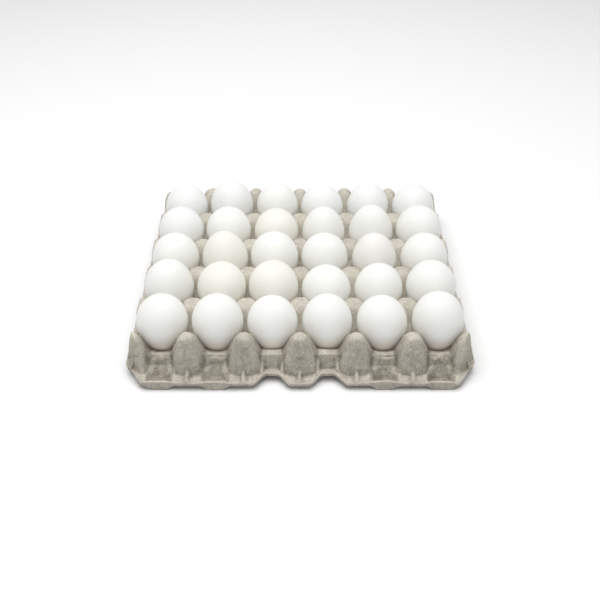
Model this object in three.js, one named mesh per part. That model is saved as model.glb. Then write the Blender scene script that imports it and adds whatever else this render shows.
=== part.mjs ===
// A moulded pulp egg tray with thirty white hen's eggs standing in its cups.
// Millimetres, +Z up. The origin is under the middle of the tray, on the plane that it rests on.
// X runs along the side with six cups, Y along the side with five. The front is at -Y.
import * as THREE from "three";

// Layout of the cups
const PITCH = 47.5;
const COLUMNS = 6;
const ROWS = 5;
const HALF_PITCH = PITCH / 2;

// Heights of the upper face of the pulp sheet
const SHEET = 2.5;
const STEEPEST_SHEET = 1.8 * SHEET;
const CUP_FLOOR = SHEET;
const FLANGE_TOP = 9;
const SADDLE_TOP = 21;

// Plan sizes of a cup and a post
const FLOOR_HALF = 9;
const WALL_STATION = 14.5;
const CAP_STATION = 18.8;
const CAP_RADIUS = 7;
const CUP_ROUNDNESS = 3;
// Post: distance from its axis and height, from the top of its cap down to the saddle beside it
const POST_SLOPE = [[0, 39.8], [5, 38.4], [CAP_RADIUS, 36.6], [14.6, SADDLE_TOP]];
// Cup wall: distance from the middle of the cup, in the rounded-square measure, and height
const CUP_WALL = [[11.3, CUP_FLOOR], [15.6, 8.7], [19.5, 15.6], [23.7, 37]];

// The rim: where the outer walls stand and where the flange ends, from the middle of the tray
const RIDGE_Y = (ROWS / 2) * PITCH;
const RIDGE_X = (COLUMNS / 2) * PITCH - 1.5;
const EDGE_X = 149;
const EDGE_Y = 144;
const EDGE_OUT = EDGE_Y - RIDGE_Y;
const SIDE_FOOT_OUT = 3;
const SIDE_FLANGE_TOP = 12.5;
const CHAMFER_START_X = 133.5;
const CHAMFER_END_Y = 122;

// The outer wall of a six-cup side, as [distance out from the ridge, height] at five stations:
// crest, middle of the wall, foot of the wall, middle of the flange, edge. Posts stand out like bells,
// pockets between them reach down to the ground behind an upright lip, and the two middle columns
// have a notch for the fingers instead.
const POST_WALL = [
  [CAP_RADIUS, SADDLE_TOP],
  [11.3, 23],
  [15.6, FLANGE_TOP],
  [20, FLANGE_TOP],
  [EDGE_OUT, FLANGE_TOP],
];
const POCKET_WALL = [[2.8, SADDLE_TOP], [7, 13.5], [13, 5], [21, CUP_FLOOR], [EDGE_OUT, FLANGE_TOP]];
const NOTCH_WALL = [[2.8, SADDLE_TOP], [5.5, 15], [8, FLANGE_TOP], [11, FLANGE_TOP], [14.4, FLANGE_TOP]];
// At each station a post's share falls from whole to none between these distances from its axis
const POST_SHARE = [[5, 9.5], [6, 12.5], [7.5, 14.7], [9.2, 14.7], [9.2, 14.7]];

// Kinds of egg: width, length, how much wider the upper half is than the lower one (below zero the
// pointed end is up), and how far the egg's lower end stays above the cup's floor
const EGG_GAP = 0.5;
const POINTED_GAP = 2.1;
const KINDS = {
  even: { width: 44.3, length: 57, blunt: 0.1, gap: EGG_GAP },
  tall: { width: 44.1, length: 59.8, blunt: 0.1, gap: EGG_GAP },
  small: { width: 43.7, length: 55.4, blunt: 0.08, gap: EGG_GAP },
  slim: { width: 42.8, length: 57, blunt: 0.1, gap: EGG_GAP },
  broad: { width: 45, length: 58.4, blunt: 0.11, gap: EGG_GAP },
  squat: { width: 44.6, length: 53.4, blunt: 0.07, gap: EGG_GAP },
  peaked: { width: 44, length: 58.6, blunt: -0.07, gap: POINTED_GAP },
  narrow: { width: 42.7, length: 56.6, blunt: -0.06, gap: POINTED_GAP },
};
// What stands in each cup, the front row first, from left to right
const FILLING = [
  ["even", "even", "small", "slim", "small", "tall"],
  ["tall", "even", "broad", "squat", "small", "broad"],
  ["even", "peaked", "broad", "even", "narrow", "even"],
  ["even", "even", "small", "narrow", "peaked", "broad"],
  ["small", "tall", "slim", "small", "slim", "small"],
];
// Lean to the right in degrees, about a point this share of the way up the egg
const LEAN_POINT = 0.4;
const LEAN = [
  [0, 0.5, -0.5, -1.7, -4.5, 0],
  [0.5, 1, -2, 0, 1.5, 0],
  [0, -1.7, -4, -2.2, -2.5, 0],
  [-0.5, -1, 0, -1.4, -1, 0.5],
  [0, -1, 0, -4.2, 0, 0],
];
const EGG_SEGMENTS = 12;
const EGG_RINGS = 8;

const PULP = new THREE.MeshStandardMaterial({ color: 0xb9b09f, roughness: 0.95, metalness: 0 });
const SHELL = new THREE.MeshStandardMaterial({ color: 0xf4f2ec, roughness: 0.45, metalness: 0 });

// Straight lines through [distance, height] points, flat beyond both ends.
function alongPoints(points, distance) {
  if (distance <= points[0][0]) return points[0][1];
  for (let i = 1; i < points.length; i += 1) {
    const [start, low] = points[i - 1];
    const [end, high] = points[i];
    if (distance <= end) return low + ((high - low) * (distance - start)) / (end - start);
  }
  return points[points.length - 1][1];
}

// Distance from the middle line of the nearest row or column, for a coordinate that is not negative.
function fromMiddle(coordinate, count) {
  const first = count % 2 === 0 ? HALF_PITCH : 0;
  const last = ((count - 1) / 2) * PITCH;
  const nearest = first + Math.round((coordinate - first) / PITCH) * PITCH;
  return Math.abs(coordinate - Math.min(Math.max(nearest, first), last));
}

// Height of the ridges and posts that stand between the cups.
function ridgeTop(across, along) {
  return alongPoints(POST_SLOPE, Math.hypot(HALF_PITCH - across, HALF_PITCH - along));
}

// Height of the cup's wall, whose plan is a rounded square.
function cupWall(across, along) {
  const out = (across ** CUP_ROUNDNESS + along ** CUP_ROUNDNESS) ** (1 / CUP_ROUNDNESS);
  return alongPoints(CUP_WALL, out);
}

// Whether the outer wall at this distance from the tray's middle line has the finger notch.
function isNotched(x) {
  return x < PITCH;
}

// A post's share of a station of the outer wall, from the distance to the post's axis.
function postShare(station, fromPost) {
  const [full, none] = POST_SHARE[station];
  return alongPoints([[full, 1], [none, 0]], fromPost);
}

// Distance in x from the nearest post's axis.
function fromPostAxis(x) {
  return HALF_PITCH - Math.min(fromMiddle(x, COLUMNS), HALF_PITCH);
}

// The stations of a six-cup side's outer wall at x, mixed from the post's and the cup's own.
function outerWall(x) {
  const fromPost = fromPostAxis(x);
  const between = isNotched(x) ? NOTCH_WALL : POCKET_WALL;
  const stations = between.map(([out, height], i) => {
    const share = postShare(i, fromPost);
    return [out + (POST_WALL[i][0] - out) * share, height + (POST_WALL[i][1] - height) * share];
  });
  const crest = stations[0];
  crest[1] = alongPoints(POST_SLOPE, Math.hypot(fromPost, Math.max(0, crest[0] - between[0][0])));
  const squeeze = Math.min(1, (cornerCut(x) - RIDGE_Y) / stations.at(-1)[0]);
  return stations.map(([out, height]) => [out * squeeze, height]);
}

// Underside of a six-cup side's edge: a pocket's lip reaches down to the ground.
function edgeUnderside(x) {
  const flange = FLANGE_TOP - SHEET;
  return isNotched(x) ? flange : flange * postShare(POST_SHARE.length - 1, fromPostAxis(x));
}

// How far out in y the tray reaches at x, with its corners cut off.
function cornerCut(x) {
  const slope = (EDGE_Y - CHAMFER_END_Y) / (EDGE_X - CHAMFER_START_X);
  return EDGE_Y - Math.max(0, x - CHAMFER_START_X) * slope;
}

// Upper face of the sheet at a place in the plan.
function trayTop(x, y) {
  const ax = Math.abs(x);
  const ay = Math.abs(y);
  const across = Math.min(fromMiddle(ax, COLUMNS), HALF_PITCH);
  const along = Math.min(fromMiddle(ay, ROWS), HALF_PITCH);
  let height = Math.min(ridgeTop(across, along), cupWall(across, along));
  if (ay > RIDGE_Y) {
    height = alongPoints([[0, ridgeTop(across, HALF_PITCH)], ...outerWall(ax)], ay - RIDGE_Y);
  }
  if (ax <= RIDGE_X) return height;
  const crest = ay > RIDGE_Y ? height : ridgeTop(HALF_PITCH, along);
  const corner = Math.max(0, Math.min(1, (ay - RIDGE_Y) / (CHAMFER_END_Y - RIDGE_Y)));
  const flange = SIDE_FLANGE_TOP + (FLANGE_TOP - SIDE_FLANGE_TOP) * corner;
  return Math.min(crest, alongPoints([[0, crest], [SIDE_FOOT_OUT, flange]], ax - RIDGE_X));
}

// Places of the grid lines across the cups of one direction, from one outer ridge to the other.
function cupStations(count, ridge) {
  const stations = [-ridge];
  for (let i = 0; i < count; i += 1) {
    const middle = (i - (count - 1) / 2) * PITCH;
    const offsets = [FLOOR_HALF, WALL_STATION, CAP_STATION];
    stations.push(...offsets.flatMap((offset) => [middle - offset, middle + offset]));
    if (i < count - 1) stations.push(middle + HALF_PITCH);
  }
  stations.push(ridge);
  return stations.sort((a, b) => a - b);
}

// Grid places in the plan: columns are straight, and the lines of the outer walls follow their stations.
function gridPoints() {
  const foot = RIDGE_X + SIDE_FOOT_OUT;
  const xs = [-EDGE_X, -foot, ...cupStations(COLUMNS, RIDGE_X), foot, EDGE_X];
  const rows = cupStations(ROWS, RIDGE_Y);
  return xs.map((x) => {
    const walls = outerWall(Math.abs(x)).map(([out]) => RIDGE_Y + out);
    const ys = [...walls.map((y) => -y).reverse(), ...rows, ...walls];
    return ys.map((y) => [x, y, trayTop(x, y)]);
  });
}

// Underside of the sheet at a grid point. It is deeper where the sheet is steep, so that walls keep
// their thickness.
function underside(grid, i, j) {
  const [x, , z] = grid[i][j];
  if (j === 0 || j === grid[i].length - 1) return edgeUnderside(Math.abs(x));
  const west = grid[Math.max(i - 1, 0)][j];
  const east = grid[Math.min(i + 1, grid.length - 1)][j];
  const south = grid[i][Math.max(j - 1, 0)];
  const north = grid[i][Math.min(j + 1, grid[i].length - 1)];
  const slopeX = (east[2] - west[2]) / (east[0] - west[0]);
  const slopeY = (north[2] - south[2]) / (north[1] - south[1]);
  return Math.max(0, z - Math.min(STEEPEST_SHEET, SHEET * Math.hypot(1, slopeX, slopeY)));
}

// The tray: the grid's upper face, the same grid let down by the sheet's depth, and a wall round the edge.
function trayGeometry() {
  const grid = gridPoints();
  const wide = grid.length;
  const deep = grid[0].length;
  const top = [];
  const bottom = [];
  grid.forEach((column, i) => column.forEach(([x, y, z], j) => {
    top.push(x, y, z);
    bottom.push(x, y, underside(grid, i, j));
  }));
  const at = (i, j) => i * deep + j;
  const lower = wide * deep;
  const faces = [];
  for (let i = 0; i < wide - 1; i += 1) {
    for (let j = 0; j < deep - 1; j += 1) {
      const [a, b, c, d] = [at(i, j), at(i + 1, j), at(i + 1, j + 1), at(i, j + 1)];
      const rise = (m, n) => Math.abs(top[3 * m + 2] - top[3 * n + 2]);
      const halves = rise(a, c) <= rise(b, d) ? [[a, b, c], [a, c, d]] : [[a, b, d], [b, c, d]];
      for (const [p, q, r] of halves) faces.push(p, q, r, lower + p, lower + r, lower + q);
    }
  }
  const edge = [];
  for (let i = 0; i < wide - 1; i += 1) edge.push(at(i, 0));
  for (let j = 0; j < deep - 1; j += 1) edge.push(at(wide - 1, j));
  for (let i = wide - 1; i > 0; i -= 1) edge.push(at(i, deep - 1));
  for (let j = deep - 1; j > 0; j -= 1) edge.push(at(0, j));
  edge.forEach((here, k) => {
    const next = edge[(k + 1) % edge.length];
    faces.push(here, lower + here, lower + next, here, lower + next, next);
  });
  const geometry = new THREE.BufferGeometry();
  geometry.setAttribute("position", new THREE.Float32BufferAttribute([...top, ...bottom], 3));
  geometry.setIndex(faces);
  geometry.computeVertexNormals();
  return geometry;
}

// An egg along Z, with the point that it leans about at the origin: a circle's outline stretched
// to the length, and widened towards one end.
function eggGeometry({ width, length, blunt }) {
  const profile = [];
  for (let i = 0; i <= EGG_RINGS; i += 1) {
    const angle = (Math.PI * i) / EGG_RINGS;
    const onAxis = i === 0 || i === EGG_RINGS;
    const radius = onAxis ? 0 : (width / 2) * Math.sin(angle) * (1 - blunt * Math.cos(angle));
    profile.push(new THREE.Vector2(radius, length * ((1 - Math.cos(angle)) / 2 - LEAN_POINT)));
  }
  return new THREE.LatheGeometry(profile, EGG_SEGMENTS).rotateX(Math.PI / 2);
}

// The egg of one cup, leaning as it does there.
function makeEgg(row, column) {
  const kind = KINDS[FILLING[row][column]];
  const egg = new THREE.Mesh(eggGeometry(kind), SHELL);
  egg.name = `egg_${row + 1}_${column + 1}`;
  const x = (column - (COLUMNS - 1) / 2) * PITCH;
  const y = (row - (ROWS - 1) / 2) * PITCH;
  egg.position.set(x, y, CUP_FLOOR + kind.gap + kind.length * LEAN_POINT);
  egg.rotation.y = THREE.MathUtils.degToRad(LEAN[row][column]);
  return egg;
}

const part = new THREE.Group();
const tray = new THREE.Mesh(trayGeometry(), PULP);
tray.name = "tray";
part.add(tray);
for (let row = 0; row < ROWS; row += 1) {
  for (let column = 0; column < COLUMNS; column += 1) part.add(makeEgg(row, column));
}

export default part;
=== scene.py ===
"""A moulded pulp tray with thirty white eggs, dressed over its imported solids."""

import logging
import math
from dataclasses import dataclass, field
from enum import Enum
from typing import Any

import bpy
import numpy as np
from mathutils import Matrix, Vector


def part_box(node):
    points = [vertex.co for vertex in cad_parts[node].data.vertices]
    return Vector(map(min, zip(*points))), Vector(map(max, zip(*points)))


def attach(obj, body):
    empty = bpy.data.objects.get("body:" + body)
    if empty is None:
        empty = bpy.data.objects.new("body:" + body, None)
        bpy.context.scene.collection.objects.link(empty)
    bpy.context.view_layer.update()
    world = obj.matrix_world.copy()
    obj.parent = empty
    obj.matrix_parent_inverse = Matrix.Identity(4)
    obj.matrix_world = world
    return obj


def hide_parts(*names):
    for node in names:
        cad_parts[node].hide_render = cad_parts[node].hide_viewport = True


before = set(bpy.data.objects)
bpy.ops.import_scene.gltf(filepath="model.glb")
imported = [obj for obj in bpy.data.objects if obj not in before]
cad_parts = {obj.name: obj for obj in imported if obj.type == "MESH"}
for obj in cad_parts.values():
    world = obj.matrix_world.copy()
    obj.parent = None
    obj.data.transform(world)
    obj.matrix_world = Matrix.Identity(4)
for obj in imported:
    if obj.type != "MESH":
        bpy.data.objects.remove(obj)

Array = np.ndarray
Colour = tuple[float, float, float]
Place = tuple[float, float, float]
Span = tuple[float, float]
Line = tuple[tuple[float, float], ...]

MM = 0.001
# Name of the pulp's mesh attribute of painted light and shade, with some rubbing of its edges
BODY = "root"
PAINTED_SHADING_AND_WEAR = "painted_shading_and_wear"
log = logging.getLogger("egg_tray")


# Numbers


def along_points(points: Line, distance: Array) -> Array:
    """Heights at some distances, by straight lines through (distance, height) points."""
    table = np.array(points, float)
    return np.interp(distance, table[:, 0], table[:, 1])


def smooth_step(start: float, end: float, value: Array) -> Array:
    """Rises from 0 at start to 1 at end, level at both ends: 3t squared less 2t cubed."""
    t = np.clip((value - start) / (end - start), 0, 1)
    return t * t * (3 - 2 * t)


def hump(value: Array, middle: float, width: float) -> Array:
    """A bell curve of height 1: e to the minus square of the distance over the width."""
    return np.exp(-(((value - middle) / width) ** 2))


def relax(grid: Array, passes: int) -> Array:
    """Rounds the creases of a grid of points and leaves its border where it is.

    Each pass gives a point half its own place and a quarter of each neighbour's, first along the
    rows and then along the columns. The border's outer neighbours are its inner ones mirrored.

    Args:
        grid: Points, as rows by columns by three.
        passes: How many times it is done.

    Returns:
        The rounded grid.
    """
    for _ in range(passes):
        for axis in (0, 1):
            g = np.swapaxes(grid, 0, axis)
            padded = np.concatenate([2 * g[:1] - g[1:2], g, 2 * g[-1:] - g[-2:-1]])
            g = (padded[:-2] + 2 * padded[1:-1] + padded[2:]) / 4
            grid = np.swapaxes(g, 0, axis)
    return grid


def grid_normals(grid: Array) -> Array:
    """Upward unit normals of a grid of points: the cross product of its two directions."""
    normal = np.cross(np.gradient(grid, axis=1), np.gradient(grid, axis=0))
    return normal / np.linalg.norm(normal, axis=-1, keepdims=True)


class ValueNoise:
    """A smooth random field: seeded numbers at whole-number places, blended between them."""

    SIDE = 32

    def __init__(self, seed: int) -> None:
        """Draws the numbers, from -1 to 1."""
        self.lattice = np.random.default_rng(seed).uniform(-1, 1, (self.SIDE,) * 3)

    def at(self, points: Array, scale: float) -> Array:
        """The field at some points.

        Each point's share of the eight numbers round it is the product, along the three axes,
        of 3t squared less 2t cubed or of what that leaves of 1.

        Args:
            points: Points, with their coordinates last, in millimetres.
            scale: Distance between the field's numbers, in millimetres.

        Returns:
            A number from -1 to 1 at each point.
        """
        place = points / scale
        cell = np.floor(place).astype(int)
        t = place - cell
        t = t * t * (3 - 2 * t)
        total = np.zeros(points.shape[:-1])
        for corner in np.ndindex(2, 2, 2):
            share = np.prod(np.where(corner, t, 1 - t), axis=-1)
            i, j, k = np.moveaxis((cell + corner) % self.SIDE, -1, 0)
            total += share * self.lattice[i, j, k]
        return total


# Shader graphs


@dataclass(frozen=True)
class Specks:
    """A scatter of round specks: sizes in millimetres, share of places with one, strength.

    The core is the share of a speck's radius inside its soft edge.
    """

    spacing: float
    radius: float
    share: float
    strength: float
    core: float = 0.6


class Value:
    """A number that a shader graph works out, which takes part in sums as a number does."""

    def __init__(self, graph: "Graph", socket: bpy.types.NodeSocket) -> None:
        """Wraps one output socket."""
        self.graph = graph
        self.socket = socket

    def _math(self, operation: str, first: Any, second: Any) -> "Value":
        """One Math node on two values."""
        return self.graph.node("ShaderNodeMath", {"operation": operation}, {0: first, 1: second})

    def __add__(self, other: Any) -> "Value":
        """self + other."""
        return self._math("ADD", self, other)

    def __radd__(self, other: Any) -> "Value":
        """other + self."""
        return self._math("ADD", other, self)

    def __sub__(self, other: Any) -> "Value":
        """self - other."""
        return self._math("SUBTRACT", self, other)

    def __rsub__(self, other: Any) -> "Value":
        """other - self."""
        return self._math("SUBTRACT", other, self)

    def __mul__(self, other: Any) -> "Value":
        """self * other."""
        return self._math("MULTIPLY", self, other)

    def __rmul__(self, other: Any) -> "Value":
        """other * self."""
        return self._math("MULTIPLY", other, self)

    def step(self, start: float, end: float) -> "Value":
        """A straight rise between two values, held beyond them.

        Args:
            start: Value where the result is 0, which may be the larger one.
            end: Value where it is 1.

        Returns:
            A number from 0 to 1.
        """
        settings = {"clamp": True}
        sockets = {"Value": self, "From Min": start, "From Max": end, "To Min": 0.0, "To Max": 1.0}
        return self.graph.node("ShaderNodeMapRange", settings, sockets)


class Graph:
    """The node graph of one material.

    PICK_EDGE is how sharply the cells with a speck are parted from those without.
    """

    PICK_EDGE = 0.98

    def __init__(self, name: str) -> None:
        """Makes the material, empty but for its Object coordinates.

        Args:
            name: The material's name.
        """
        self.material = bpy.data.materials.new(name)
        self.material.use_nodes = True
        self.tree = self.material.node_tree
        self.tree.nodes.clear()
        self.place = self.node("ShaderNodeTexCoord", output="Object")

    def node(
        self,
        kind: str,
        settings: dict[str, Any] | None = None,
        sockets: dict[Any, Any] | None = None,
        output: str | int = 0,
    ) -> Value:
        """Adds a node.

        Args:
            kind: The node's type.
            settings: Properties of the node, set before its sockets.
            sockets: Values or links, by the socket's name or number.
            output: Which output is handed back.

        Returns:
            That output.
        """
        made = self.tree.nodes.new(kind)
        for name, setting in (settings or {}).items():
            setattr(made, name, setting)
        for name, given in (sockets or {}).items():
            if isinstance(given, Value):
                self.tree.links.new(given.socket, made.inputs[name])
            else:
                made.inputs[name].default_value = given
        return Value(self, made.outputs[output])

    def noise(self, size_mm: float, detail: float = 3.0, roughness: float = 0.55) -> Value:
        """Noise whose coarsest grain is about as wide as the given size.

        Args:
            size_mm: Width of the grain in millimetres.
            detail: How many finer grains are added.
            roughness: How strong the finer grains are.

        Returns:
            A number round 0.5.
        """
        sockets = {
            "Vector": self.place,
            "Scale": 1 / (size_mm * MM),
            "Detail": detail,
            "Roughness": roughness,
        }
        return self.node("ShaderNodeTexNoise", {}, sockets)

    def specks(self, kind: Specks) -> Value:
        """Round specks, one in some of the cells of a scattered pattern.

        A cell has a speck where its random number is below the share of the cells that do.

        Args:
            kind: Size, spacing, share and strength of the specks.

        Returns:
            The strength in a speck and 0 outside it.
        """
        sockets = {"Vector": self.place, "Scale": 1 / (kind.spacing * MM)}
        cell = self.node("ShaderNodeTexVoronoi", {}, sockets, "Distance")
        chance = self.node("ShaderNodeTexVoronoi", {}, sockets, "Color")
        reach = kind.radius / kind.spacing
        random = self.node("ShaderNodeSeparateColor", {}, {0: chance})
        picked = random.step(kind.share, kind.share * self.PICK_EDGE)
        return cell.step(reach, reach * kind.core) * picked * kind.strength

    def mix(self, factor: Any, first: Any, second: Any) -> Value:
        """A colour between two colours.

        Args:
            factor: 0 for the first colour and 1 for the second.
            first: Colour or link.
            second: Colour or link.

        Returns:
            The mixed colour.
        """
        settings = {"data_type": "RGBA", "clamp_factor": True}
        colours = [c if isinstance(c, Value) else (*c, 1.0) for c in (first, second)]
        sockets = {0: factor, 6: colours[0], 7: colours[1]}
        return self.node("ShaderNodeMix", settings, sockets, 2)

    def finish(
        self, colour: Value, roughness: Any, gloss: float, height: Value, depth_mm: float
    ) -> bpy.types.Material:
        """Closes the graph with a bump and the shader.

        Args:
            colour: Colour of the surface.
            roughness: Number or link, 0 for polished and 1 for matt.
            gloss: How strongly it reflects.
            height: Relief, from 0 to 1.
            depth_mm: How deep the relief is, in millimetres.

        Returns:
            The material.
        """
        bump = self.node("ShaderNodeBump", {}, {"Distance": depth_mm * MM, "Height": height})
        sockets = {"Base Color": colour, "Roughness": roughness, "Specular IOR Level": gloss}
        shader = self.node("ShaderNodeBsdfPrincipled", {}, {**sockets, "Normal": bump})
        output = self.tree.nodes.new("ShaderNodeOutputMaterial")
        self.tree.links.new(shader.socket, output.inputs["Surface"])
        return self.material


def linear(colour: Colour) -> Colour:
    """A screen colour as the linear colour that shaders take, by the sRGB curve."""
    return tuple(c / 12.92 if c <= 0.04045 else ((c + 0.055) / 1.055) ** 2.4 for c in colour)


@dataclass(frozen=True)
class PulpFinish:
    """Dry recycled pulp: mottled fibres and a few dark bits, with painted light, painted shade
    and rubbed edges.

    The tones are the sums of the grain where the colour is all shade and where it is all light.
    The weights are those of fibres, mottles and clouds.
    """

    shade: Colour = (0.51, 0.487, 0.44)
    light: Colour = (0.895, 0.87, 0.82)
    tones: Span = (0.32, 0.82)
    # How strongly the mesh's painted light and shade, with its rubbing, moves the tone
    painted_shading_and_wear: float = 0.45
    bit: Colour = (0.36, 0.34, 0.30)
    bits: Specks = Specks(4.5, 0.55, 0.16, 0.6)
    fibre_mm: float = 1.3
    mottle_mm: float = 5.0
    cloud_mm: float = 30.0
    grain_weights: tuple[float, float, float] = (0.6, 0.25, 0.2)
    relief_weights: tuple[float, float] = (0.6, 0.4)
    relief_mm: float = 0.8
    roughness: float = 0.96
    gloss: float = 0.2

    def material(self) -> bpy.types.Material:
        """Builds the material.

        The tone is the weighted sum of three grains of rising size, and of the painted light and
        shade, with the rubbing, that the mesh carries.

        Returns:
            The material.
        """
        graph = Graph("pulp")
        fibre = graph.noise(self.fibre_mm, 4.0, 0.7)
        mottle = graph.noise(self.mottle_mm, 3.0, 0.6)
        cloud = graph.noise(self.cloud_mm, 2.0)
        # The mesh attribute: painted light on level places, saddles and among the eggs, painted shade
        # in creases, and rubbed edges
        shading_and_wear_map = graph.node("ShaderNodeAttribute", {"attribute_name": PAINTED_SHADING_AND_WEAR}, output="Fac")
        fine, middling, broad = self.grain_weights
        grain = fibre * fine + mottle * middling + cloud * broad
        tone = (grain + (shading_and_wear_map - 0.5) * self.painted_shading_and_wear).step(*self.tones)
        colour = graph.mix(tone, linear(self.shade), linear(self.light))
        colour = graph.mix(graph.specks(self.bits), colour, linear(self.bit))
        fine, middling = self.relief_weights
        relief = fibre * fine + mottle * middling
        return graph.finish(colour, self.roughness, self.gloss, relief, self.relief_mm)


class Tint(Enum):
    """Colours of eggshell, as (main colour, paler or darker cloud in it)."""

    WHITE = ((0.95, 0.95, 0.935), (0.96, 0.96, 0.945))
    CREAM = ((0.95, 0.94, 0.91), (0.96, 0.955, 0.93))
    COOL = ((0.945, 0.95, 0.943), (0.955, 0.96, 0.953))
    SPOTTED = ((0.94, 0.935, 0.92), (0.95, 0.945, 0.93))


@dataclass(frozen=True)
class ShellFinish:
    """Clean eggshell: matt to silky, with fine pores and hardly visible clouds.

    Towards the pulp it is painted a brownish shade, for the cup's shadow and the light that the
    pulp bounces: the heights given for it are where that starts and is complete, in metres over
    the ground. The roughness is the least one and what the clouds add to it.
    """

    tint: Tint
    clouds: Span = (0.35, 0.65)
    # Painted shade towards the pulp: its colour, how strong it is, and the heights where it starts
    # and is complete
    pulp_bounce_shade: Colour = (0.80, 0.74, 0.66)
    pulp_bounce_shade_share: float = 0.7
    pulp_bounce_shade_heights: Span = (0.036, 0.018)
    spot: Colour = (0.62, 0.60, 0.57)
    faint_specks: Specks = Specks(3.2, 0.35, 0.08, 0.25)
    dark_specks: Specks = Specks(4.0, 0.5, 0.3, 0.6)
    pore_mm: float = 0.7
    cloud_mm: float = 14.0
    relief_mm: float = 0.06
    roughness: Span = (0.5, 0.14)
    gloss: float = 0.25

    def material(self) -> bpy.types.Material:
        """Builds the material.

        Returns:
            The material, in the finish's tint.
        """
        main, cloudy = self.tint.value
        graph = Graph(f"eggshell_{self.tint.name.lower()}")
        cloud = graph.noise(self.cloud_mm, 3.0)
        grain = graph.noise(self.pore_mm, 2.0)
        colour = graph.mix(cloud.step(*self.clouds), linear(main), linear(cloudy))
        # Painted shade: the shell darkens to a brownish colour towards its lower end, in the cup
        height = graph.node("ShaderNodeSeparateXYZ", {}, {0: graph.place}, "Z")
        pulp_bounce_shade_factor = height.step(*self.pulp_bounce_shade_heights) * self.pulp_bounce_shade_share
        colour = graph.mix(pulp_bounce_shade_factor, colour, linear(self.pulp_bounce_shade))
        specks = graph.specks(self.faint_specks)
        if self.tint is Tint.SPOTTED:
            specks = specks + graph.specks(self.dark_specks)
        colour = graph.mix(specks, colour, linear(self.spot))
        least, more = self.roughness
        roughness = least + more * cloud
        return graph.finish(colour, roughness, self.gloss, grain, self.relief_mm)


# Meshes


def grid_numbers(grid: Array, first: int = 0) -> Array:
    """The numbers of a grid's points, row by row."""
    return first + np.arange(grid.shape[0] * grid.shape[1]).reshape(grid.shape[:2])


def grid_quads(number: Array) -> Array:
    """The faces of a grid, four corners each, counter-clockwise where rows run towards +Y."""
    corners = (number[:-1, :-1], number[:-1, 1:], number[1:, 1:], number[1:, :-1])
    return np.stack(corners, -1).reshape(-1, 4)


def make_piece(
    name: str,
    points: Array,
    faces: list[Array],
    material: bpy.types.Material,
    replaced: str,
    painted_shading_and_wear: Array | None = None,
) -> bpy.types.Object:
    """Puts a mesh into the scene for one CAD node.

    Args:
        name: The piece's name.
        points: Points in millimetres, with their coordinates last.
        faces: Arrays of faces, each of one number of corners.
        material: Its finish.
        replaced: The CAD node that it stands for.
        painted_shading_and_wear: Painted light and shade, with rubbing, at each point, from 0 to 1,
            where the finish reads it.

    Returns:
        The piece.
    """
    mesh = bpy.data.meshes.new(name)
    flat = points.reshape(-1, 3) * MM
    sides = np.concatenate([np.full(len(f), f.shape[1]) for f in faces])
    corners = np.concatenate([f.ravel() for f in faces]).astype(np.int32)
    mesh.vertices.add(len(flat))
    mesh.vertices.foreach_set("co", flat.ravel().astype(np.float32))
    mesh.loops.add(len(corners))
    mesh.loops.foreach_set("vertex_index", corners)
    mesh.polygons.add(len(sides))
    mesh.polygons.foreach_set("loop_start", (np.cumsum(sides) - sides).astype(np.int32))
    mesh.polygons.foreach_set("use_smooth", np.ones(len(sides), bool))
    mesh.update(calc_edges=True)
    mesh.validate()
    if painted_shading_and_wear is not None:
        mesh.attributes.new(PAINTED_SHADING_AND_WEAR, "FLOAT", "POINT").data.foreach_set("value", painted_shading_and_wear.astype(np.float32))
    mesh.materials.append(material)
    piece = bpy.data.objects.new(name, mesh)
    bpy.context.scene.collection.objects.link(piece)
    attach(piece, BODY)
    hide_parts(replaced)
    log.info("%s: %d points, %d faces", name, len(flat), len(sides))
    return piece


# Eggs


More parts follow.
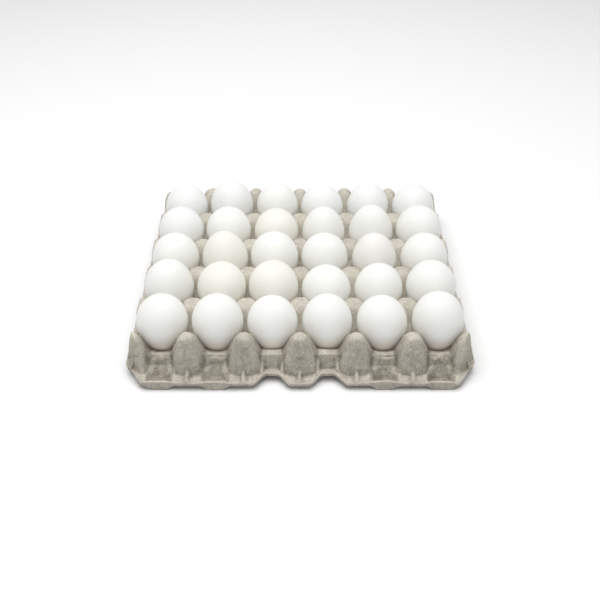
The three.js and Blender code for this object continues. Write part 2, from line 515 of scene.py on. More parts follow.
@dataclass(frozen=True)
class EggForm:
    """Size, place and lean of one egg, in millimetres.

    RING is the angle from each end of the ring of points that its bluntness is measured on,
    LOW_PART the angle up to which its underside is looked for, and LOW_POINTS its points.
    """

    RING = math.pi / 4
    LOW_PART = 0.62 * math.pi
    LOW_POINTS = 200

    low: Array
    axis: Array
    length: float
    width: float
    blunt: float

    @classmethod
    def from_node(cls, name: str) -> "EggForm":
        """Measures the CAD node: its lowest and highest points are the egg's two ends.

        The bluntness is the difference of the radii of two rings over their sum, over the
        cosine of their angle. They are the widest rings in the lowest and the highest quarter.

        Args:
            name: The CAD node.

        Returns:
            The form, whose blunt is how much wider the upper half is than the lower one.
        """
        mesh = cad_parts[name].data
        co = np.empty(len(mesh.vertices) * 3)
        mesh.vertices.foreach_get("co", co)
        points = co.reshape(-1, 3) / MM
        low, high = points[points[:, 2].argmin()], points[points[:, 2].argmax()]
        length = float(np.linalg.norm(high - low))
        axis = (high - low) / length
        up = (points - low) @ axis
        out = np.linalg.norm(points - low - up[:, None] * axis, axis=1)
        quarter = length / 4
        upper, lower = out[up > length - quarter].max(), out[up < quarter].max()
        blunt = (upper - lower) / (upper + lower) / math.cos(cls.RING)
        return cls(low, axis, length, 2 * float(out.max()), float(blunt))

    def profile(self, angle: Array) -> tuple[Array, Array]:
        """Outline of the egg, with the angle counted from its lower end.

        The height is half the length times (1 less the cosine). The radius is half the width
        times the sine times (1 less the bluntness times the cosine).

        Args:
            angle: From 0 to pi.

        Returns:
            The radius and the height above the lower end, along the axis.
        """
        cosine = np.cos(angle)
        radius = self.width / 2 * np.sin(angle) * (1 - self.blunt * cosine)
        return radius, self.length / 2 * (1 - cosine)

    def underside(self, x: Array, y: Array, spare: float) -> Array:
        """Height of the egg's lower half, grown by a spare distance, over places in the plan.

        The radius at a place is its distance from the leaning axis, which is found again three
        times from the height that the last one gave. On the flanks of an egg that leans it is
        up to about a millimetre off.

        Args:
            x: Places in x.
            y: Places in y.
            spare: How far the egg is grown.

        Returns:
            The height, or infinity outside the egg.
        """
        angle = np.linspace(0, self.LOW_PART, self.LOW_POINTS)
        radius, up = self.profile(angle)
        steps = np.stack([np.gradient(up), -np.gradient(radius)])
        steps /= np.linalg.norm(steps, axis=0)
        radius, up = radius + steps[0] * spare, up + steps[1] * spare
        widest = radius.argmax()
        height = np.full(x.shape, self.length / 3)
        for _ in range(3):
            lean = np.clip(height, 0, self.length)
            dx, dy = x - self.low[0] - self.axis[0] * lean, y - self.low[1] - self.axis[1] * lean
            across = np.hypot(dx, dy)
            height = np.interp(across, radius[: widest + 1], up[: widest + 1])
        return np.where(across > radius[widest], np.inf, self.low[2] + height)


@dataclass
class Egg:
    """One egg as a smooth closed surface, a little uneven as laid.

    Its skin moves in and out by up to the unevenness over lumps of the given size.
    """

    name: str
    form: EggForm
    seed: int
    rings: int = 40
    segments: int = 64
    uneven: float = 0.16
    lump: float = 16.0

    def points(self) -> Array:
        """The surface's points: the outline carried round the axis, then moved in and out.

        A point's move along its radius is the seeded field, times the unevenness and the sine
        of its angle.

        Returns:
            The lower end, the rings from the bottom up, and the upper end.
        """
        angle = np.linspace(0, math.pi, self.rings + 2)[1:-1, None]
        turn = np.linspace(0, 2 * math.pi, self.segments, endpoint=False)[None, :]
        radius, up = self.form.profile(angle)
        side = np.cross([0.0, 1.0, 0.0], self.form.axis)
        side /= np.linalg.norm(side)
        front = np.cross(self.form.axis, side)
        outward = np.cos(turn)[..., None] * side + np.sin(turn)[..., None] * front
        rings = self.form.low + up[..., None] * self.form.axis + radius[..., None] * outward
        move = self.uneven * ValueNoise(self.seed).at(rings, self.lump)
        rings += move[..., None] * np.sin(angle)[..., None] * outward
        ends = self.form.low + np.outer([0, self.form.length], self.form.axis)
        return np.concatenate([ends[:1], rings.reshape(-1, 3), ends[1:]])

    def faces(self) -> list[Array]:
        """Quads between the rings and triangles at both ends, all facing out.

        Returns:
            The quads, the lower triangles and the upper ones.
        """
        ring = 1 + np.arange(self.rings * self.segments).reshape(self.rings, self.segments)
        after = np.roll(ring, -1, 1)
        quads = np.stack([ring[:-1], after[:-1], after[1:], ring[1:]], -1).reshape(-1, 4)
        low_end, high_end = np.zeros_like(ring[0]), np.full_like(ring[0], ring.size + 1)
        lower = np.stack([low_end, after[0], ring[0]], -1)
        upper = np.stack([ring[-1], after[-1], high_end], -1)
        return [quads, lower, upper]

    def build(self, material: bpy.types.Material) -> bpy.types.Object:
        """Makes the egg's piece, which stands for its CAD node."""
        piece_name = f"shell_{self.name}"
        return make_piece(piece_name, self.points(), self.faces(), material, self.name)


@dataclass
class Eggs:
    """The thirty eggs, row by row from the front and from left to right."""

    rows: int = 5
    columns: int = 6
    tinted: dict[Tint, tuple[str, ...]] = field(
        default_factory=lambda: {
            Tint.CREAM: ("egg_2_2", "egg_2_3", "egg_3_2", "egg_4_3"),
            Tint.SPOTTED: ("egg_3_5",),
            Tint.COOL: ("egg_4_1", "egg_5_1", "egg_5_2", "egg_5_4", "egg_5_5", "egg_5_6"),
        }
    )

    def forms(self) -> dict[str, EggForm]:
        """The form of each egg, by the name of its CAD node."""
        names = [f"egg_{r + 1}_{c + 1}" for r in range(self.rows) for c in range(self.columns)]
        return {name: EggForm.from_node(name) for name in names}

    def build(self, forms: dict[str, EggForm]) -> None:
        """Makes all the eggs.

        Args:
            forms: The form of each egg, by name.
        """
        finishes = {tint: ShellFinish(tint).material() for tint in Tint}
        tints = {name: tint for tint, names in self.tinted.items() for name in names}
        for seed, (name, form) in enumerate(forms.items()):
            Egg(name, form, seed).build(finishes[tints.get(name, Tint.WHITE)])


# Tray


# The power of the posts' ellipses: 2 is round, more is flatter in front
POST_ROUND = 2.6
# From a post's axis, where the flange's edge leaves its full width and where the notch is deepest
NOTCH_SWING = (7.5, 20.0)


@dataclass(frozen=True)
class Station:
    """One line along the outer wall of a six-cup side.

    Each point is the distance out from the ridge and the height. The post's point is the line's
    place in front of a post and reaches sideways as a flattened ellipse with the given radius,
    or in an S along the flange where the radius is 0. The pocket's points come with their
    distance from the middle of the cup. The lines are the grid's lines up to this station.
    """

    post: tuple[float, float]
    radius: float
    pocket: tuple[Place, ...]
    notch: tuple[float, float]
    lines: int

    def place(self, aside: Array, from_post: Array, notched: Array) -> Array:
        """Where the line runs.

        In a pocket it follows straight lines between the pocket's points. In a notch it is the
        notch's point, and on the flange it swings from there to the post's. A post's share is
        how far the ellipse stands out beyond the cup's own line, over how far the post's point
        does. The ellipse at a distance from the post is the post's own distance out times (1
        less the distance over the radius to POST_ROUND) to 1 over POST_ROUND.

        Args:
            aside: Distances from the middle of the cup.
            from_post: Distances from the post's axis.
            notched: Whether the cup has the finger notch.

        Returns:
            The distances out and the heights, as two rows.
        """
        table = np.array(self.pocket)
        pocket = np.stack([np.interp(aside, table[:, 0], table[:, k]) for k in (1, 2)])
        post, notch = np.array(self.post)[:, None], np.array(self.notch)[:, None]
        swing = 0.0 if self.radius else 1 - smooth_step(*NOTCH_SWING, from_post)
        cup = np.where(notched, notch + (post - notch) * swing, pocket)
        if not self.radius:
            return cup
        ellipse = np.maximum(0, 1 - (from_post / self.radius) ** POST_ROUND) ** (1 / POST_ROUND)
        ellipse = self.post[0] * ellipse
        share = np.clip((ellipse - cup[0]) / (self.post[0] - cup[0]), 0, 1)
        return cup + (post - cup) * share


STATIONS = (
    Station((0, 21), 0, ((0, 0, 21),), (0, 21), 0),
    Station((7, 21), 9.4, ((3, 1.4, 21), (9, 3.0, 21)), (3.2, 21), 6),
    Station((9.2, 30.6), 13.8, ((4, 3.6, 17), (8, 4.6, 16.8)), (4.4, 18), 5),
    Station((11.4, 23), 15.6, ((3, 6.0, 12), (8, 7.4, 12.5)), (5.8, 14.4), 4),
    Station((16.8, 8.7), 16.6, ((3, 10, 7.5), (7.5, 12, 9.2), (11, 12.6, 9.2)), (8, 9), 7),
    Station((19, 8.5), 0, ((3, 15.2, 3.2), (8, 15.8, 4.4), (12.8, 17.8, 8.6)), (9.6, 9), 4),
    Station((21, 8.1), 0, ((3, 20.2, 3), (8, 20.4, 3.6), (13, 21, 8.3)), (11.2, 9), 4),
    Station((23.5, 7.6), 0, ((8, 23, 8.8), (13, 23.4, 7.7)), (12.8, 9), 5),
    Station((25.25, 7.3), 0, ((8, 25.25, 9.2), (13, 25.25, 7.3)), (14.4, 9), 5),
)


@dataclass(frozen=True)
class Swell:
    """A small swelling or dent: its height, and the middle and width of its two bell curves."""

    height: float
    out: Span
    aside: Span

    def at(self, out: Array, aside: Array) -> Array:
        """The height times both bell curves."""
        return self.height * hump(aside, *self.aside) * hump(out, *self.out)


@dataclass(frozen=True)
class Gusset:
    """A rib or fin: a straight slope down and out, less a parabola across, within its reach."""

    height: float
    start: float
    fall: float
    sharpness: float
    reach: Span

    def at(self, out: Array, across: Array) -> Array:
        """Its height at distances out from the ridge and across from its own middle."""
        height = self.height - self.fall * (out - self.start) - self.sharpness * across**2
        return np.where((out > self.reach[0]) & (out < self.reach[1]), height, 0)


@dataclass(frozen=True)
class ShadingAndWearPattern:
    """How much each place adds to the mask of the pulp's painted light and shade and its rubbing,
    which is 0.5 where the sheet is plain.

    The edges' and forms' numbers are for each millimetre that a point stands out. A span is
    where a smooth step starts and is complete, in millimetres or as a normal's upward part.
    """

    # Edges and raised forms paler, from rubbing and painted light; creases and hollows darker, as
    # painted shade
    edges: float = 0.5
    forms: float = 0.08
    form_limits: Span = (-2, 1)
    most: float = 0.15
    # Painted light: level places paler, as lit from above
    level: float = 0.22
    level_span: Span = (0.5, 0.95)
    # Painted light among the eggs, where they shade the sheet, less on level places there
    among_eggs: float = 0.24
    level_among_eggs: float = -0.34
    among_span: Span = (3, 12)
    # Painted light: pale crests on the saddles
    saddle: float = 0.2
    saddle_width: float = 2.5
    saddle_end: Span = (7, 10)
    hidden: float = 0.45


@dataclass(frozen=True)
class Roughness:
    """The sheet's unevenness, as the reach and the lump size of its seeded fields."""

    broad: tuple[float, float] = (0.35, 26.0)
    lumps: tuple[float, float] = (0.3, 7.0)
    grain: tuple[float, float] = (0.2, 2.6)
    creases: tuple[float, float] = (0.35, 9.0)
    crease_power: int = 8
    crease_span: Span = (3, 7)
    folds: tuple[float, float] = (2.0, 5.0)
    fold_middle: float = 0.3
    fold_most: float = 1.6
    wander: tuple[float, float] = (0.5, 20.0)
    wander_span: Span = (0, 8)
    fuzz: tuple[float, float] = (0.25, 3.0)
    foot_fuzz: float = 0.5


@dataclass
class Tray:
    """The pulp tray as one closed sheet, in millimetres.

    A span is where a smooth step starts and where it is complete. The steps are numbers of grid
    lines: coarse and fine ones in x, and on a cup's wall and floor in y.
    """

    name: str = "pulp_tray"
    pitch: float = 47.5
    columns: int = 6
    rows: int = 5
    x_steps: tuple[int, int] = (131, 24)
    y_steps: tuple[int, int] = (15, 5)
    edge_steps: int = 4
    sheet: float = 2.5
    steepest: float = 4.5
    thinnest: float = 1.5
    floor_half: float = 9.0
    flange: float = 9.0
    side_flange: float = 12.5
    ridge_inset: float = 1.5
    chamfer: tuple[float, float] = (133.5, 122.0)
    edge_round: float = 1.0
    tongue: Span = (5.5, 14.0)
    pocket_start: float = 10.0
    roof_slope: Line = ((0, 40.7), (2, 40.4), (4, 39.5), (5.6, 38.1), (7, 36.3), (14.6, 21))
    cup_slope: Line = ((9.5, 2.5), (13.4, 8.7), (17, 15.6), (20.6, 37))
    crest_wide: float = 2.8
    flank: float = 6.0
    flank_span: Span = (6, 11)
    inner_lift: float = 1.8
    lift_span: Span = (4, 14)
    side_saddle: float = 27.0
    rim_span: Span = (-10, -4)
    pocket_room: float = 5.0
    notch_room: float = 3.6
    room_span: Span = (8, 16)
    bars: tuple[float, float] = (0.5, 2.2)
    ramp_fall: float = 0.45
    dip_sag: float = 1.9
    dip_span: Span = (3.0, 11.0)
    dip_out: Span = (-14, -8)
    side_wall: Line = ((0.6, 41), (4.0, 29), (6.4, 12.5), (8.2, 0))
    side_bulge: float = 1.4
    bulge_width: float = 7.0
    bulge_even: float = 0.6
    bulge_heights: Span = (38, 30)
    corner_span: Span = (6, 20)
    corner_rise: Line = ((134, 0), (137, 6.8), (148.5, 11.6))
    corner_smooth: tuple[Span, Span] = ((-12, -4), (-6, 2))
    rib: Gusset = Gusset(14.2, 14.0, 0.5, 1.0, (12, 24))
    fin: Gusset = Gusset(16.4, 7.0, 1.0, 2.2, (4, 13))
    fin_aside: float = 8.4
    shoulder: Swell = Swell(0.4, (9.5, 3.0), (8.5, 2.2))
    folds: tuple[Swell, Swell] = (
        Swell(0.7, (4.0, 0.6), (0, 8.0)),
        Swell(-1.0, (2.9, 0.5), (0, 8.0)),
    )
    slot_place: tuple[float, float] = (143.2, 127.5)
    slit: Swell = Swell(-1.6, (0, 0.9), (-1.2, 1.5))
    lip: Swell = Swell(0.5, (1.9, 0.9), (-1.2, 1.8))
    egg_gap: float = 0.05
    rounding: tuple[int, int] = (1, 16)
    # The pulp's painted light and shade with its rubbing: the relaxing rounds and the pattern
    shading_and_wear_rounding: tuple[int, int] = (4, 30)
    shading_and_wear_map: ShadingAndWearPattern = ShadingAndWearPattern()
    roughness: Roughness = Roughness()
    seed: int = 71

    def __post_init__(self) -> None:
        """Takes the tray's reach from its CAD node and works out where its ridges stand."""
        high = np.array(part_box("tray")[1]) / MM
        self.edge_x, self.edge_y = float(high[0]), float(high[1])
        self.half = self.pitch / 2
        self.ridge_y = self.rows * self.half
        self.ridge_x = self.columns * self.half - self.ridge_inset
        self.noise = [ValueNoise(self.seed + i) for i in range(4)]

    def from_middle(self, place: Array, count: int) -> Array:
        """Distance from the middle line of the nearest row or column of cups.

        Args:
            place: Places in x or y.
            count: How many columns or rows there are.

        Returns:
            The distance at each place, at most half a pitch.
        """
        first = self.half if count % 2 == 0 else 0.0
        nearest = first + np.round((np.abs(place) - first) / self.pitch) * self.pitch
        nearest = np.clip(nearest, first, (count - 1) / 2 * self.pitch)
        return np.minimum(np.abs(np.abs(place) - nearest), self.half)

    def beyond(self, grid: Array) -> Array:
        """How far out from the ridges each point is, with less than 0 among the cups."""
        return np.maximum(np.abs(grid[..., 1]) - self.ridge_y, np.abs(grid[..., 0]) - self.ridge_x)

    def roof(self, from_post: Array) -> Array:
        """Height of posts and saddles at distances from a post's axis."""
        return along_points(self.roof_slope, from_post)

    def crest(self, x: Array, from_post: Array, out: Array) -> Array:
        """Height of the roof at distances out from a ridge's crest, with the dips' sag."""
        near = np.hypot(from_post, np.maximum(0, out - self.crest_wide))
        return self.roof(near) - self.sag(x, out)

    def x_lines(self) -> Array:
        """The grid's lines in x, closer together on the sides' steep walls.

        Returns:
            Their places, from left to right.
        """
        fine = self.chamfer[0] + self.ridge_inset
        coarse_steps, fine_steps = self.x_steps
        wall = np.linspace(fine, self.edge_x, fine_steps)
        right = np.concatenate([np.linspace(0, fine, coarse_steps), wall[1:]])
        return np.concatenate([-right[:0:-1], right])

    def y_lines(self) -> Array:
        """The grid's lines in y over the cups, wide apart on their hidden floors.

        Returns:
            Their places, from front to back.
        """
        wall_steps, floor_steps = self.y_steps
        wall = np.linspace(self.floor_half, self.half, wall_steps)
        floor = np.linspace(-self.floor_half, self.floor_half, floor_steps)
        cup = np.concatenate([-wall[:0:-1], floor, wall[1:]])
        middles = (np.arange(self.rows) - (self.rows - 1) / 2) * self.pitch
        lines = (middles[:, None] + cup[None, :-1]).ravel()
        return np.append(lines, self.ridge_y)

    def cups(self, x: Array, y: Array) -> Array:
        """Height over the cups: the lower of the roof and of the cup's wall.

        The wall's distance from the cup's middle is that of a rounded square: the cube root of
        the sum of the two distances' cubes. On a ridge's flanks a post is as wide as on the
        ridge itself. The inner posts stand a little above those on the ridges, and the outer
        cups' walls ramp up to the saddles.

        Args:
            x: Places in x.
            y: Places in y.

        Returns:
            The height at each place.
        """
        across, along = self.from_middle(x, self.columns), self.from_middle(y, self.rows)
        a, b = self.half - across, self.half - along
        along_x = np.hypot(a, np.maximum(0, b - self.flank * smooth_step(*self.flank_span, a)))
        along_y = np.hypot(b, np.maximum(0, a - self.flank * smooth_step(*self.flank_span, b)))
        inward = self.ridge_y - np.abs(y)
        roof = self.roof(np.minimum(along_x, along_y)) - self.sag(x, -inward)
        rim = smooth_step(*self.rim_span, np.abs(x) - self.ridge_x)
        roof = np.maximum(roof, self.side_saddle * rim)
        roof = roof + self.inner_lift * smooth_step(*self.lift_span, inward) * (1 - rim)
        outer = inward < self.half
        notched = np.abs(x) < self.pitch
        room = np.where(notched, self.notch_room, self.pocket_room)
        along = along - np.where(outer, room * smooth_step(*self.room_span, along), 0)
        wall = along_points(self.cup_slope, np.cbrt(across**3 + along**3))
        off_bar = np.maximum(0, inward - np.where(notched, self.bars[1], self.bars[0]))
        ramp = self.roof(a) - self.sag(x, np.zeros_like(x)) - self.ramp_fall * off_bar
        return np.minimum(roof, np.where(outer, np.maximum(wall, ramp), wall))

    def sag(self, x: Array, out: Array) -> Array:
        """How much lower the ridge of a six-cup side is in the dips with a pocket before them.

        Args:
            x: Places in x.
            out: Distances out from the ridge.

        Returns:
            The drop at each place: a smooth dish across the dip, fading towards the cups.
        """
        dish = 1 - smooth_step(*self.dip_span, self.from_middle(x, self.columns))
        depth = np.where(np.abs(x) > self.pitch, self.dip_sag, 0)
        return depth * dish * smooth_step(*self.dip_out, out)

    def band(self, x: Array) -> tuple[Array, Array]:
        """The outer wall of a six-cup side: straight lines between its stations.

        On the first two stations the height is the roof's, at the distance from the post's axis
        with the crest's width taken off. Near the corners all distances out shrink alike, so
        that the last one follows the cut corner.

        Args:
            x: Places of the grid's lines in x.

        Returns:
            Distance out and height, from the line next to the ridge to the edge.
        """
        aside = self.from_middle(x, self.columns)
        from_post, notched = self.half - aside, np.abs(x) < self.pitch
        outs, heights = np.stack([s.place(aside, from_post, notched) for s in STATIONS], 1)
        heights[:2] = self.crest(x, from_post, outs[:2])
        steps = [k + np.arange(1, s.lines + 1) / s.lines for k, s in enumerate(STATIONS[1:])]
        place = np.concatenate(steps)
        low = np.minimum(place.astype(int), len(STATIONS) - 2)
        part = (place - low)[:, None]
        out = outs[low] * (1 - part) + outs[low + 1] * part
        height = heights[low] * (1 - part) + heights[low + 1] * part
        first = place <= 1
        height[first] = self.crest(x, from_post, out[first])
        cut_x, cut_y = self.chamfer
        slope = (self.edge_y - cut_y) / (self.edge_x - cut_x)
        cut = self.edge_y - np.maximum(0, np.abs(x) - cut_x) * slope - self.ridge_y
        return out * np.minimum(1, cut / outs[-1]), height

    def sides(self, grid: Array) -> Array:
        """Lets the height fall to the flange outside the five-cup sides' ridges.

        The height is the lower of the face's own and of the side's wall, a line in the distance
        out that bulges before each post. The flange sinks along the cut corner, and the front's
        foot rises to it.

        Args:
            grid: The tray's upper face.

        Returns:
            The heights with the sides.
        """
        x, y, z = np.moveaxis(grid, -1, 0)
        out = np.abs(y) - self.ridge_y
        corner = smooth_step(*self.corner_span, out)
        flange = self.side_flange + (self.flange - self.side_flange) * corner
        turned = np.clip(out, 0, self.corner_span[1])
        from_post = self.half - self.from_middle(y, self.rows)
        bulge = self.side_bulge * (hump(from_post, 0, self.bulge_width) - self.bulge_even)
        bulge = bulge * smooth_step(*self.bulge_heights, z)
        beyond = np.abs(x) - self.ridge_x + turned - bulge
        foot = np.where(out > 0, along_points(self.corner_rise, np.abs(x)), 0)
        wall = along_points(self.side_wall, beyond)
        return np.minimum(np.maximum(z, foot), np.maximum(flange, wall))

    def gussets(self, grid: Array) -> Array:
        """Heights with the ribs before the posts and the fins in the notches' corners.

        Args:
            grid: The tray's upper face.

        Returns:
            The highest of the face, the ribs and the fins.
        """
        x, y, z = np.moveaxis(grid, -1, 0)
        out = np.abs(y) - self.ridge_y
        aside = self.from_middle(x, self.columns)
        rib = self.rib.at(out, self.half - aside)
        fin = np.where(np.abs(x) < self.pitch, self.fin.at(out, aside - self.fin_aside), 0)
        return np.maximum(z, np.maximum(rib, fin))

    def relief(self, grid: Array) -> Array:
        """How far each place stands out from the plain form: shoulders, folds and slits.

        They lie by their distance out from the ridge and from the middle of the cup, and the
        folds come and go with a seeded field.

        Args:
            grid: The tray's upper face.

        Returns:
            Distances along the normal, in millimetres.
        """
        x = np.abs(grid[..., 0])
        out = np.abs(grid[..., 1]) - self.ridge_y
        aside = self.from_middle(x, self.columns)
        fold = sum(swell.at(out, aside) for swell in self.folds)
        rough = self.roughness
        strength = rough.fold_middle + self.uneven(0, rough.folds, grid)
        fold = fold * np.clip(strength, 0, rough.fold_most)
        pocket = (x < self.ridge_x - self.half / 2) & (x > self.pitch)
        return np.where(pocket, self.shoulder.at(out, aside) + fold, 0) + self.corner_slot(grid)

    def corner_slot(self, grid: Array) -> Array:
        """A slit that runs out across each corner's foot, with a raised lip outside it.

        Both are swells in directions at 45 degrees to the sides.

        Args:
            grid: The tray's upper face.

        Returns:
            Distances along the normal, in millimetres.
        """
        dx, dy = np.moveaxis(np.abs(grid[..., :2]) - self.slot_place, -1, 0)
        along, across = (dx + dy) * math.sqrt(0.5), (dx - dy) * math.sqrt(0.5)
        return self.slit.at(across, along) + self.lip.at(across, along)

    def rough(self, grid: Array) -> Array:
        """The sheet's unevenness: the sum of three seeded fields, less the creases.

        A crease is (1 less the size of a fourth field) to a high power, outside the ridges.

        Args:
            grid: The tray's upper face.

        Returns:
            Distances along the normal, in millimetres.
        """
        rough = self.roughness
        depth, size = rough.creases
        crease = (1 - np.abs(self.noise[3].at(grid, size))) ** rough.crease_power
        crease = crease * smooth_step(*rough.crease_span, self.beyond(grid))
        fields = enumerate((rough.broad, rough.lumps, rough.grain))
        return sum(self.uneven(number, kind, grid) for number, kind in fields) - depth * crease

    def uneven(self, number: int, kind: tuple[float, float], grid: Array) -> Array:
        """One of the seeded fields over a grid, with its reach and lump size."""
        return kind[0] * self.noise[number].at(grid, kind[1])

    def wander(self, grid: Array) -> Array:
        """How far the rim strays sideways: two seeded fields, growing outwards."""
        reach = smooth_step(*self.roughness.wander_span, self.beyond(grid))
        return np.stack([self.uneven(k, self.roughness.wander, grid) * reach for k in (2, 3)], -1)

    def clear_eggs(self, grid: Array, forms: dict[str, EggForm]) -> Array:
        """Lowers the face to the undersides of the eggs, less a gap, but leaves a thin floor.

        Args:
            grid: The tray's upper face.
            forms: The eggs' forms.

        Returns:
            The lowered face.
        """
        height = grid[..., 2]
        for form in forms.values():
            height = np.minimum(height, form.underside(grid[..., 0], grid[..., 1], self.egg_gap))
        return np.concatenate([grid[..., :2], np.maximum(height, self.thinnest)[..., None]], -1)

    def upper(self, forms: dict[str, EggForm]) -> Array:
        """The upper face: its plain form rounded off, then moved along its normals.

        Args:
            forms: The eggs' forms.

        Returns:
            Points, as rows by columns by three.
        """
        x, y = self.x_lines(), self.y_lines()
        middle = np.stack(np.meshgrid(x, y), -1)
        middle = np.concatenate([middle, self.cups(middle[..., 0], middle[..., 1])[..., None]], -1)
        out, height = self.band(x)
        wall = np.stack([np.broadcast_to(x, out.shape), self.ridge_y + out, height], -1)
        front = wall[::-1] * np.array([1, -1, 1])
        grid = np.concatenate([front, middle, wall])
        grid[..., 2] = self.sides(grid)
        grid[..., 2] = self.gussets(grid)
        overall, at_corners = self.rounding
        grid = relax(grid, overall)
        x, y = np.abs(grid[..., :1]), np.abs(grid[..., 1:2])
        corner = smooth_step(*self.corner_smooth[0], x - self.ridge_x)
        corner = corner * smooth_step(*self.corner_smooth[1], y - self.ridge_y)
        grid += (relax(grid, at_corners) - grid) * corner
        grid += (self.relief(grid) + self.rough(grid))[..., None] * grid_normals(grid)
        grid[..., :2] += self.wander(grid)
        return self.clear_eggs(self.round_edge(grid), forms)

    def round_edge(self, grid: Array) -> Array:
        """Turns the sheet's edge down by the height that a quarter circle falls.

        Args:
            grid: The tray's upper face.

        Returns:
            The face with its edge rounded.
        """
        x = grid[..., 0]
        ends = [np.linalg.norm(grid - end, axis=-1) for end in (grid[:1], grid[-1:])]
        inner = np.minimum.reduce([*ends, np.abs(x - x[:, :1]), np.abs(x - x[:, -1:])])
        short = np.clip(self.edge_round - inner, 0, self.edge_round)
        drop = self.edge_round - np.sqrt(self.edge_round**2 - short**2)
        return grid - drop[..., None] * np.array([0.0, 0.0, 1.0])

    def painted_shading_and_wear(self, grid: Array) -> Array:
        """Painted light and shade of the upper face, with rubbing: paler on level places, edges and
        saddles, darker in creases.

        How far a point stands out is its distance, along its normal, from its place in the same
        face after some rounds of relaxing, few for thin edges and many for broad forms. Within
        the ridges, among the eggs, the face is painted paler all over, as painted light where the
        eggs shade it.

        Args:
            grid: The tray's upper face.

        Returns:
            A number from 0 to 1 at each point, 0.5 where the face is plain.
        """
        shading_and_wear_map = self.shading_and_wear_map
        normal = grid_normals(grid)
        thin, broad = [((grid - relax(grid, n)) * normal).sum(-1) for n in self.shading_and_wear_rounding]
        # Painted light: level places paler, as lit from above
        level = smooth_step(*shading_and_wear_map.level_span, normal[..., 2]) - 0.5
        inside = smooth_step(*shading_and_wear_map.among_span, -self.beyond(grid))
        aside = self.from_middle(grid[..., 0], self.columns)
        # Painted light on the saddles' crests
        saddle = hump(np.abs(grid[..., 1]), self.ridge_y, shading_and_wear_map.saddle_width)
        saddle = saddle * (1 - smooth_step(*shading_and_wear_map.saddle_end, aside))
        # Edges and raised forms paler, from rubbing and painted light; creases and hollows darker, as
        # painted shade
        stands_out = shading_and_wear_map.edges * thin + shading_and_wear_map.forms * np.clip(broad, *shading_and_wear_map.form_limits)
        stands_out = np.minimum(stands_out, shading_and_wear_map.most) * (1 - inside)
        # Painted light among the eggs, where they shade the sheet
        among_eggs = (shading_and_wear_map.among_eggs + shading_and_wear_map.level_among_eggs * level) * inside
        total = 0.5 + stands_out + shading_and_wear_map.level * level + among_eggs + shading_and_wear_map.saddle * saddle
        return np.clip(total, 0, 1)

    def edge_bottom(self, edge: Array) -> Array:
        """Heights of the sheet's lower edge under its upper edge.

        It is a sheet's thickness lower, and at a pocket it goes down to the ground: there the
        height is multiplied by the post's share.

        Args:
            edge: The upper edge's points.

        Returns:
            The height at each point.
        """
        x, y, z = edge.T
        share = smooth_step(*self.tongue, self.from_middle(x, self.columns))
        pocket = (np.abs(x) > self.pitch) & (np.abs(y) > self.ridge_y + self.pocket_start)
        return (z - self.sheet + self.edge_round) * np.where(pocket, share, 1.0)

    def lower(self, grid: Array) -> Array:
        """The lower face, on every other line, the sheet's depth below the upper one.

        The depth is the thickness over the upright part of the slope's normal, so that walls
        keep their thickness, up to a limit, and nothing is below the ground.

        Args:
            grid: The tray's upper face.

        Returns:
            Points, as rows by columns by three.
        """
        upright = np.maximum(grid_normals(grid)[..., 2], 0.2)
        depth = np.minimum(self.steepest, self.sheet / upright)
        face = grid.copy()
        face[..., 2] = np.maximum(0, grid[..., 2] - depth)
        return face[::2, ::2]

    def edge_wall(self, rim: Array, foot: Array) -> Array:
        """The sheet's edge below its rim: lines down to the foot, with a fuzzy face.

        Each point moves in or out by a seeded field, and less on the foot.

        Args:
            rim: The upper face's border.
            foot: The points under it on the lower edge.

        Returns:
            Points, as lines by places round the edge by three.
        """
        depth = np.linspace(0, 1, self.edge_steps + 1)[1:, None, None]
        walls = rim * (1 - depth) + foot * depth
        move = self.uneven(1, self.roughness.fuzz, walls)
        move[-1] *= self.roughness.foot_fuzz
        return walls + move[..., None] * outward_of(rim)

    def build(self, forms: dict[str, EggForm]) -> bpy.types.Object:
        """Makes the tray's piece: upper face, edge, lower face, as one closed surface.

        Args:
            forms: The eggs' forms.

        Returns:
            The piece.
        """
        top = self.upper(forms)
        rim = border(top)
        foot = np.column_stack([rim[:, :2], self.edge_bottom(rim)])
        walls = self.edge_wall(rim, foot)
        line = foot[::2]
        bottom = with_border(self.lower(top), line - self.edge_round * outward_of(line))
        points = np.concatenate([part.reshape(-1, 3) for part in (top, walls, bottom)])
        # The upper face carries the painted light and shade with its rubbing; the edge and the lower
        # face a constant
        painted_shading_and_wear = np.full(len(points), self.shading_and_wear_map.hidden)
        painted_shading_and_wear[: top[..., 0].size] = self.painted_shading_and_wear(top).ravel()
        material = PulpFinish().material()
        faces = self.faces(top, walls, bottom)
        return make_piece(self.name, points, faces, material, "tray", painted_shading_and_wear)

    def faces(self, top: Array, walls: Array, bottom: Array) -> list[Array]:
        """The faces of the closed sheet, all facing out.

        The lower face has a point to every other one of the edge's foot, so three triangles
        fill the band between them at each of its points.

        Args:
            top: The upper face.
            walls: The edge's lines.
            bottom: The lower face.

        Returns:
            Arrays of faces, each of one number of corners.
        """
        upper = grid_numbers(top)
        sides = grid_numbers(walls, upper.size)
        under = grid_numbers(bottom, upper.size + sides.size)
        loops = np.vstack([border(upper), sides])
        after = np.roll(loops, -1, 1)
        quads = np.stack([loops[:-1], loops[1:], after[1:], after[:-1]], -1).reshape(-1, 4)
        one, two, three = loops[-1, ::2], loops[-1, 1::2], after[-1, 1::2]
        inner = border(under)
        next_inner = np.roll(inner, -1)
        band = [(one, inner, two), (two, inner, next_inner), (two, next_inner, three)]
        triangles = [np.stack(corners, -1) for corners in band]
        return [grid_quads(upper), quads, grid_quads(under)[:, ::-1], *triangles]


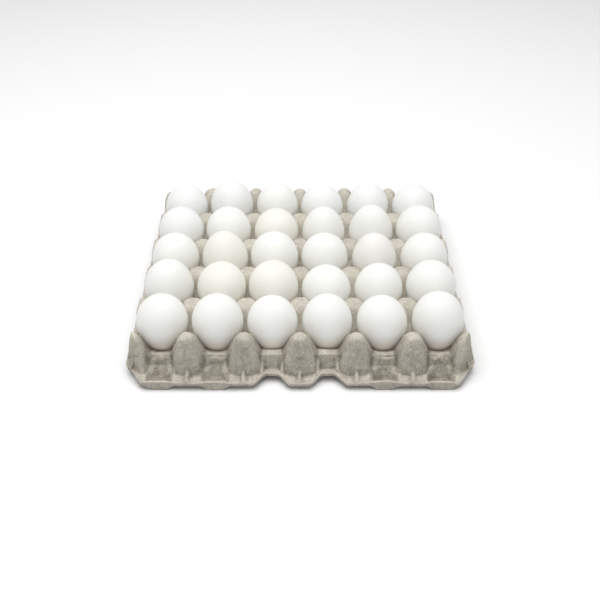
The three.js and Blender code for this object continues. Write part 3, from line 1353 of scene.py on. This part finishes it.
def outward_of(line: Array) -> Array:
    """Level unit vectors out of a closed line: its direction turned right by a quarter turn.

    Args:
        line: Points, counter-clockwise from above.

    Returns:
        A vector at each point.
    """
    step = np.roll(line, -1, 0) - np.roll(line, 1, 0)
    outward = np.stack([step[:, 1], -step[:, 0], np.zeros(len(line))], -1)
    return outward / np.linalg.norm(outward, axis=1, keepdims=True)


def border(grid: Array) -> Array:
    """A grid's border, once round and counter-clockwise from above."""
    return np.concatenate([grid[0, :-1], grid[:-1, -1], grid[-1, :0:-1], grid[:0:-1, 0]])


def with_border(grid: Array, line: Array) -> Array:
    """Puts a line of points on a grid's border.

    Args:
        grid: Points, as rows by columns by three.
        line: Points once round, counter-clockwise from above.

    Returns:
        A copy of the grid with that border.
    """
    grid = grid.copy()
    rows, columns = grid.shape[0] - 1, grid.shape[1] - 1
    parts = np.split(line, np.cumsum([columns, rows, columns]))
    grid[0, :-1], grid[:-1, -1], grid[-1, :0:-1], grid[:0:-1, 0] = parts
    return grid


# Stage


@dataclass
class Studio:
    """Pale floor, soft light from above and the camera at the photograph's angle, in metres."""

    floor_half: float = 6.0
    floor_colour: Colour = (0.98, 0.98, 0.98)
    floor_roughness: float = 0.9
    camera_place: Place = (0.0, -0.617, 0.466)
    camera_down: float = 38.01
    lens: float = 47.04
    sensor: float = 36.0
    nearest: float = 0.01
    light_place: Place = (-0.1, -0.05, 1.5)
    light_size: float = 1.6
    light_watts: float = 21.8
    sky: float = 0.42

    def floor(self) -> None:
        """Lays the floor."""
        mesh = bpy.data.meshes.new("floor")
        corners = np.array([[-1, -1], [1, -1], [1, 1], [-1, 1]]) * self.floor_half
        mesh.from_pydata([(*c, 0.0) for c in corners.tolist()], [], [(0, 1, 2, 3)])
        material = bpy.data.materials.new("floor")
        material.use_nodes = True
        shader = material.node_tree.nodes["Principled BSDF"]
        shader.inputs["Base Color"].default_value = (*linear(self.floor_colour), 1.0)
        shader.inputs["Roughness"].default_value = self.floor_roughness
        mesh.materials.append(material)
        piece = bpy.data.objects.new("floor", mesh)
        bpy.context.scene.collection.objects.link(piece)

    def overhead_light(self) -> None:
        """Hangs a square soft light that shines at the middle of the floor."""
        light = bpy.data.lights.new("overhead", "AREA")
        light.size = self.light_size
        light.energy = self.light_watts
        hung = bpy.data.objects.new("overhead", light)
        hung.location = self.light_place
        hung.rotation_euler = (-Vector(self.light_place)).to_track_quat("-Z", "Y").to_euler()
        bpy.context.scene.collection.objects.link(hung)

    def world(self) -> None:
        """Sets an even white surround."""
        world = bpy.data.worlds.new("surround")
        world.use_nodes = True
        background = world.node_tree.nodes["Background"]
        background.inputs["Color"].default_value = (1.0, 1.0, 1.0, 1.0)
        background.inputs["Strength"].default_value = self.sky
        bpy.context.scene.world = world

    def camera(self) -> None:
        """Sets the camera, level from side to side and looking down along +Y."""
        camera = bpy.data.cameras.new("camera")
        camera.sensor_width = self.sensor
        camera.lens = self.lens
        camera.clip_start = self.nearest
        holder = bpy.data.objects.new("camera", camera)
        holder.location = self.camera_place
        holder.rotation_euler = (math.radians(90 - self.camera_down), 0.0, 0.0)
        bpy.context.scene.collection.objects.link(holder)
        bpy.context.scene.camera = holder

    def build(self) -> None:
        """Makes the whole stage."""
        self.floor()
        self.overhead_light()
        self.world()
        self.camera()
        bpy.context.scene.view_settings.view_transform = "Standard"


def main() -> None:
    """Builds the eggs, the tray and the stage."""
    logging.basicConfig(level=logging.INFO, format="%(name)s %(message)s")
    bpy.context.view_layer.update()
    eggs = Eggs()
    forms = eggs.forms()
    eggs.build(forms)
    Tray().build(forms)
    Studio().build()
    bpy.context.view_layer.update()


if __name__ == "__main__":
    main()
